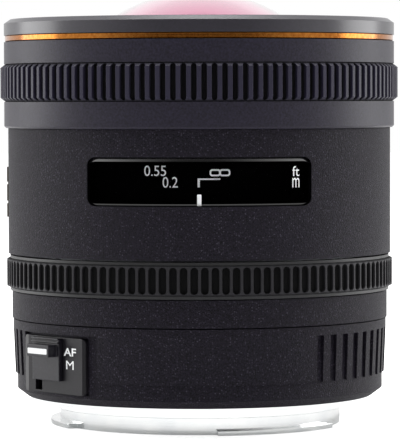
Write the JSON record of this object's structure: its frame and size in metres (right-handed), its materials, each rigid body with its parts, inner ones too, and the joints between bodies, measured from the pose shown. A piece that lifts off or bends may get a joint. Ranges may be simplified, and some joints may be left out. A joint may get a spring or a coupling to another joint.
{
  "type": "fisheye lens",
  "caption": "Fisheye camera lens with a bulging front glass, slip-on front ring, ribbed focus ring, distance window, mode switch and bayonet mount.",
  "frame": {"origin": "centre of the bayonet's contact face, on the optical axis", "axes": "+Z along the optical axis towards the front glass, -Y towards the distance window, +X to the right seen from the window side"},
  "size_m": [0.0762, 0.0762, 0.0827],
  "materials": {
    "chrome_plate": "bright chrome plate",
    "screw_steel": "bright turned steel",
    "gold_contact": "gold flash on brass",
    "black_plastic": "moulded, fine matt",
    "velvet_black": "speckled velvet coat",
    "satin_black": "satin black anodised",
    "black_rubber": "moulded ribs",
    "gold_anodised": "gold anodised",
    "clear_glass": "polished and coated",
    "window_glass": "dark tinted pane",
    "inner_aluminium": "machined",
    "black_aluminium": "black anodised",
    "black_felt": "short flock",
    "blade_steel": "dark coated spring steel",
    "board_green": "solder mask",
    "chip_black": "moulded epoxy",
    "copper_comb": "bronze",
    "knob_black": "moulded satin"
  },
  "bodies": {
    "barrel": {"mount_flange": "chrome_plate", "mount_screws": "screw_steel", "contact_block": "black_plastic", "contact_pins": "gold_contact", "rear_baffle": "black_plastic", "gel_filter_holder": "black_aluminium", "rear_collar": "velvet_black", "switch_plate": "black_plastic", "lower_sleeve": "velvet_black", "window_sleeve": "velvet_black", "window_pane": "window_glass", "window_mask": "black_plastic", "badge_plate": "gold_anodised", "nose_barrel": "satin_black", "front_cell": "black_aluminium", "trim_ring": "black_aluminium", "chassis": "inner_aluminium", "guide_tube": "inner_aluminium", "rear_cell": "black_aluminium", "rear_spacers": "black_aluminium", "rear_retaining_rings": "black_aluminium", "iris_housing": "black_plastic", "iris_cover": "black_aluminium", "motor_stator": "copper_comb", "iris_motor": "screw_steel", "main_board": "board_green", "board_chips": "chip_black", "front_element": "clear_glass", "second_element": "clear_glass", "sixth_element": "clear_glass", "sixth_group": "clear_glass", "seventh_group": "clear_glass", "eighth_group": "clear_glass", "rear_element": "clear_glass"},
    "slip_ring": {"slip_ring_body": "satin_black", "slip_ring_grip": "satin_black", "gold_ring": "gold_anodised", "slip_rim": "satin_black", "felt_lining": "black_felt"},
    "focus_ring": {"focus_ring_core": "black_aluminium", "focus_rubber": "black_rubber"},
    "cam_drum": {"scale_drum": "black_aluminium", "cam_ring": "inner_aluminium", "drive_key": "screw_steel"},
    "focus_carriage": {"focus_cell": "black_aluminium", "cam_followers": "gold_contact", "focus_retaining_ring": "black_aluminium", "third_element": "clear_glass", "fourth_group": "clear_glass"},
    "af_switch": {"switch_knob": "knob_black"},
    "motor_rotor": {"motor_rotor": "inner_aluminium"},
    "iris_driver": {"iris_ring": "blade_steel"},
    "iris_blade_1": {"iris_blade_1": "blade_steel"},
    "iris_blade_2": {"iris_blade_2": "blade_steel"},
    "iris_blade_3": {"iris_blade_3": "blade_steel"},
    "iris_blade_4": {"iris_blade_4": "blade_steel"},
    "iris_blade_5": {"iris_blade_5": "blade_steel"},
    "iris_blade_6": {"iris_blade_6": "blade_steel"}
  },
  "joints": [
    {"name": "slip_ring_pull", "type": "slide", "parent": "barrel", "child": "slip_ring", "axis": [0, 0, 1], "range_m": [0, 0.026]},
    {"name": "focus_turn", "type": "hinge", "parent": "barrel", "child": "focus_ring", "pos_m": [0, 0, 0.02415], "axis": [0, 0, 1], "range_deg": [0, 120]},
    {"name": "scale_turn", "type": "hinge", "parent": "barrel", "child": "cam_drum", "pos_m": [0, 0, 0.039], "axis": [0, 0, 1], "range_deg": [0, 60]},
    {"name": "focus_shift", "type": "slide", "parent": "barrel", "child": "focus_carriage", "axis": [0, 0, 1], "range_m": [0, 0.0025]},
    {"name": "mode_switch", "type": "slide", "parent": "barrel", "child": "af_switch", "axis": [0, 0, -1], "range_m": [0, 0.0024]},
    {"name": "motor_turn", "type": "hinge", "parent": "barrel", "child": "motor_rotor", "pos_m": [0, 0, 0.015], "axis": [0, 0, 1], "range_deg": [0, 120]},
    {"name": "iris_drive", "type": "hinge", "parent": "barrel", "child": "iris_driver", "pos_m": [0, 0, 0.0313], "axis": [0, 0, 1], "range_deg": [0, 7.2]},
    {"name": "blade_1_swing", "type": "hinge", "parent": "barrel", "child": "iris_blade_1", "pos_m": [0, -0.016, 0.03], "axis": [0, 0, 1], "range_deg": [0, 24]},
    {"name": "blade_2_swing", "type": "hinge", "parent": "barrel", "child": "iris_blade_2", "pos_m": [0.01386, -0.008, 0.03], "axis": [0, 0, 1], "range_deg": [0, 24]},
    {"name": "blade_3_swing", "type": "hinge", "parent": "barrel", "child": "iris_blade_3", "pos_m": [0.01386, 0.008, 0.03], "axis": [0, 0, 1], "range_deg": [0, 24]},
    {"name": "blade_4_swing", "type": "hinge", "parent": "barrel", "child": "iris_blade_4", "pos_m": [0, 0.016, 0.03], "axis": [0, 0, 1], "range_deg": [0, 24]},
    {"name": "blade_5_swing", "type": "hinge", "parent": "barrel", "child": "iris_blade_5", "pos_m": [-0.01386, 0.008, 0.03], "axis": [0, 0, 1], "range_deg": [0, 24]},
    {"name": "blade_6_swing", "type": "hinge", "parent": "barrel", "child": "iris_blade_6", "pos_m": [-0.01386, -0.008, 0.03], "axis": [0, 0, 1], "range_deg": [0, 24]}
  ],
  "couplings": [
    {"joint": "scale_turn", "follows": "focus_turn", "ratio": 0.5},
    {"joint": "focus_shift", "follows": "focus_turn", "m_per_rad": 0.0011937},
    {"joint": "blade_1_swing", "follows": "iris_drive", "ratio": 3.3333},
    {"joint": "blade_2_swing", "follows": "iris_drive", "ratio": 3.3333},
    {"joint": "blade_3_swing", "follows": "iris_drive", "ratio": 3.3333},
    {"joint": "blade_4_swing", "follows": "iris_drive", "ratio": 3.3333},
    {"joint": "blade_5_swing", "follows": "iris_drive", "ratio": 3.3333},
    {"joint": "blade_6_swing", "follows": "iris_drive", "ratio": 3.3333}
  ]
}
